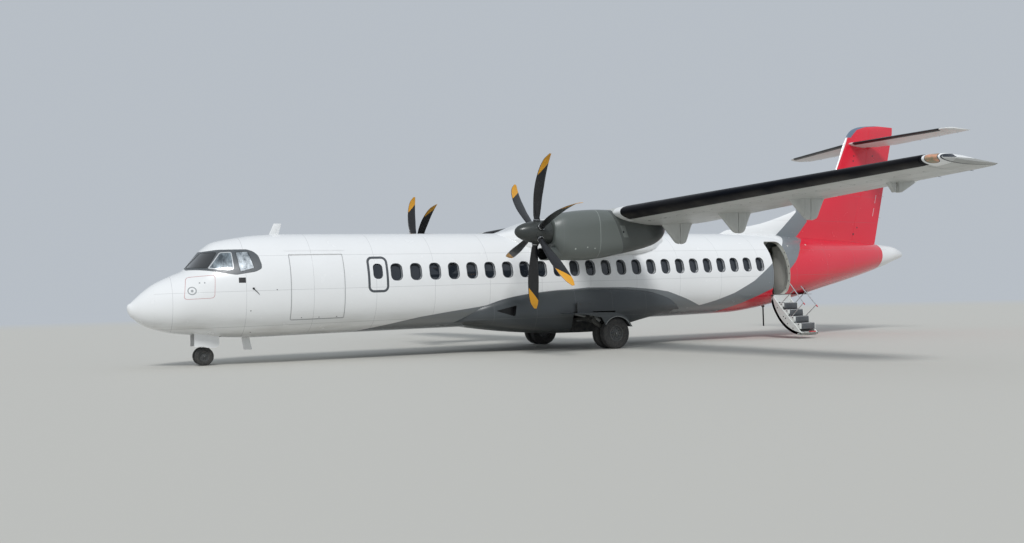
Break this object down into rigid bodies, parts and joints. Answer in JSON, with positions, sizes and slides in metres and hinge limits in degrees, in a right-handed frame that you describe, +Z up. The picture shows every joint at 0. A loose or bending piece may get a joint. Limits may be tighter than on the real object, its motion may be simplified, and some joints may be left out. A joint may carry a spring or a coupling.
{
  "type": "turboprop airliner",
  "caption": "High-wing turboprop airliner with a T-tail, parked on its wheels with the airstair open, in white with a grey sweep and a red tail.",
  "frame": {"origin": "on the ground, at the middle of the aircraft's length and span", "axes": "-X toward the nose, -Y to the port (left) side, +Z up"},
  "size_m": [27.17, 27.05, 7.65],
  "materials": {
    "skin_white": "gloss paint on metal skin",
    "composite_white": "gloss paint on composite",
    "belly_grey": "satin dark grey paint on composite",
    "tail_red": "gloss red paint on composite",
    "nacelle_grey": "satin dark grey paint on composite",
    "wing_grey": "satin light grey paint on metal",
    "surface_grey": "satin light grey paint on composite",
    "blade_black": "satin black with yellow tips",
    "spinner_grey": "satin dark grey paint",
    "cockpit_glass": "clear heated glass",
    "gear_steel": "painted and bare steel",
    "engine_block": "plain block",
    "wheel_metal": "cast rims",
    "tyre_rubber": "matt rubber",
    "stair_metal": "painted frame and dark treads"
  },
  "bodies": {
    "airframe": {"radome": "composite_white", "fuselage": "skin_white", "tail_cone": "composite_white", "belly_fairing": "belly_grey", "wing_fairing": "composite_white", "wing": "wing_grey", "fin": "tail_red", "tailplane": "composite_white", "service_door": "skin_white", "tail_rod": "gear_steel", "nose_leg": "gear_steel", "nacelle_left": "nacelle_grey", "engine_left": "engine_block", "windscreen_left": "cockpit_glass", "side_window_left": "cockpit_glass", "emergency_exit_left": "skin_white", "nose_door_left": "composite_white", "main_leg_left": "gear_steel", "main_arm_left": "gear_steel", "leg_door_left": "belly_grey", "nacelle_right": "nacelle_grey", "engine_right": "engine_block", "windscreen_right": "cockpit_glass", "side_window_right": "cockpit_glass", "emergency_exit_right": "skin_white", "nose_door_right": "composite_white", "main_leg_right": "gear_steel", "main_arm_right": "gear_steel", "leg_door_right": "belly_grey"},
    "cargo_door": {"cargo_door": "skin_white"},
    "airstair": {"airstair": "stair_metal", "stair_rail_front": "gear_steel", "stair_rail_rear": "gear_steel"},
    "nose_steering": {"nose_fork": "gear_steel"},
    "nose_wheels": {"nose_wheels": "wheel_metal", "nose_tyre_left": "tyre_rubber", "nose_tyre_right": "tyre_rubber"},
    "rudder": {"rudder": "tail_red"},
    "propeller_left": {"propeller_left": "blade_black", "spinner_left": "spinner_grey"},
    "flap_inner_left": {"flap_inner_left": "surface_grey"},
    "flap_outer_left": {"flap_outer_left": "surface_grey"},
    "aileron_left": {"aileron_left": "surface_grey"},
    "elevator_left": {"elevator_left": "composite_white"},
    "main_wheels_left": {"main_wheels_left": "wheel_metal", "main_tyre_inner_left": "tyre_rubber", "main_tyre_outer_left": "tyre_rubber"},
    "propeller_right": {"propeller_right": "blade_black", "spinner_right": "spinner_grey"},
    "flap_inner_right": {"flap_inner_right": "surface_grey"},
    "flap_outer_right": {"flap_outer_right": "surface_grey"},
    "aileron_right": {"aileron_right": "surface_grey"},
    "elevator_right": {"elevator_right": "composite_white"},
    "main_wheels_right": {"main_wheels_right": "wheel_metal", "main_tyre_inner_right": "tyre_rubber", "main_tyre_outer_right": "tyre_rubber"}
  },
  "joints": [
    {"name": "propeller_left_spin", "type": "hinge", "parent": "airframe", "child": "propeller_left", "pos_m": [-4.525, -4.05, 3.1], "axis": [1, 0, 0], "continuous": true},
    {"name": "propeller_right_spin", "type": "hinge", "parent": "airframe", "child": "propeller_right", "pos_m": [-4.525, 4.05, 3.1], "axis": [1, 0, 0], "continuous": true},
    {"name": "nose_steer", "type": "hinge", "parent": "airframe", "child": "nose_steering", "pos_m": [-11.845, 0, 0.5], "axis": [0, 0, 1], "range_deg": [-60, 60]},
    {"name": "nose_wheels_spin", "type": "hinge", "parent": "nose_steering", "child": "nose_wheels", "pos_m": [-11.845, 0, 0.225], "axis": [0, 1, 0], "continuous": true},
    {"name": "main_wheels_left_spin", "type": "hinge", "parent": "airframe", "child": "main_wheels_left", "pos_m": [-1.075, -2.05, 0.432], "axis": [0, 1, 0], "continuous": true},
    {"name": "main_wheels_right_spin", "type": "hinge", "parent": "airframe", "child": "main_wheels_right", "pos_m": [-1.075, 2.05, 0.432], "axis": [0, 1, 0], "continuous": true},
    {"name": "rudder_turn", "type": "hinge", "parent": "airframe", "child": "rudder", "pos_m": [11.4292, 0, 5], "axis": [0.2288, 0, 0.9735], "range_deg": [-27, 27]},
    {"name": "elevator_left_turn", "type": "hinge", "parent": "airframe", "child": "elevator_left", "pos_m": [12.195, -2, 6.88], "axis": [0, 1, 0], "range_deg": [-23, 13]},
    {"name": "elevator_right_turn", "type": "hinge", "parent": "airframe", "child": "elevator_right", "pos_m": [12.195, 2, 6.88], "axis": [0, 1, 0], "range_deg": [-23, 13]},
    {"name": "aileron_left_turn", "type": "hinge", "parent": "airframe", "child": "aileron_left", "pos_m": [-0.78632, -11.64, 3.57972], "axis": [0.028, 0.9993, -0.0228], "range_deg": [-14, 14]},
    {"name": "aileron_right_turn", "type": "hinge", "parent": "airframe", "child": "aileron_right", "pos_m": [-0.78632, 11.64, 3.57972], "axis": [-0.028, 0.9993, 0.0228], "range_deg": [-14, 14]},
    {"name": "flap_inner_left_turn", "type": "hinge", "parent": "airframe", "child": "flap_inner_left", "pos_m": [-0.585, -2.97, 2.86], "axis": [0, 1, 0], "range_deg": [0, 35]},
    {"name": "flap_outer_left_turn", "type": "hinge", "parent": "airframe", "child": "flap_outer_left", "pos_m": [-0.6557, -6.975, 2.96605], "axis": [0.028, 0.9987, -0.0419], "range_deg": [0, 35]},
    {"name": "flap_inner_right_turn", "type": "hinge", "parent": "airframe", "child": "flap_inner_right", "pos_m": [-0.585, 2.97, 2.86], "axis": [0, 1, 0], "range_deg": [0, 35]},
    {"name": "flap_outer_right_turn", "type": "hinge", "parent": "airframe", "child": "flap_outer_right", "pos_m": [-0.6557, 6.975, 2.96605], "axis": [-0.028, 0.9987, 0.0419], "range_deg": [0, 35]},
    {"name": "airstair_turn", "type": "hinge", "parent": "airframe", "child": "airstair", "pos_m": [6.025, -1.245, 1.395], "axis": [-1, 0, 0], "range_deg": [0, 146]},
    {"name": "cargo_door_turn", "type": "hinge", "parent": "airframe", "child": "cargo_door", "pos_m": [-9.285, -1.167, 2.71305], "axis": [-0.9999, 0, -0.0135], "range_deg": [0, 100]}
  ],
  "couplings": [
    {"joint": "elevator_right_turn", "follows": "elevator_left_turn", "ratio": 1},
    {"joint": "aileron_right_turn", "follows": "aileron_left_turn", "ratio": -1},
    {"joint": "flap_outer_left_turn", "follows": "flap_inner_left_turn", "ratio": 1},
    {"joint": "flap_inner_right_turn", "follows": "flap_inner_left_turn", "ratio": 1},
    {"joint": "flap_outer_right_turn", "follows": "flap_inner_left_turn", "ratio": 1}
  ]
}
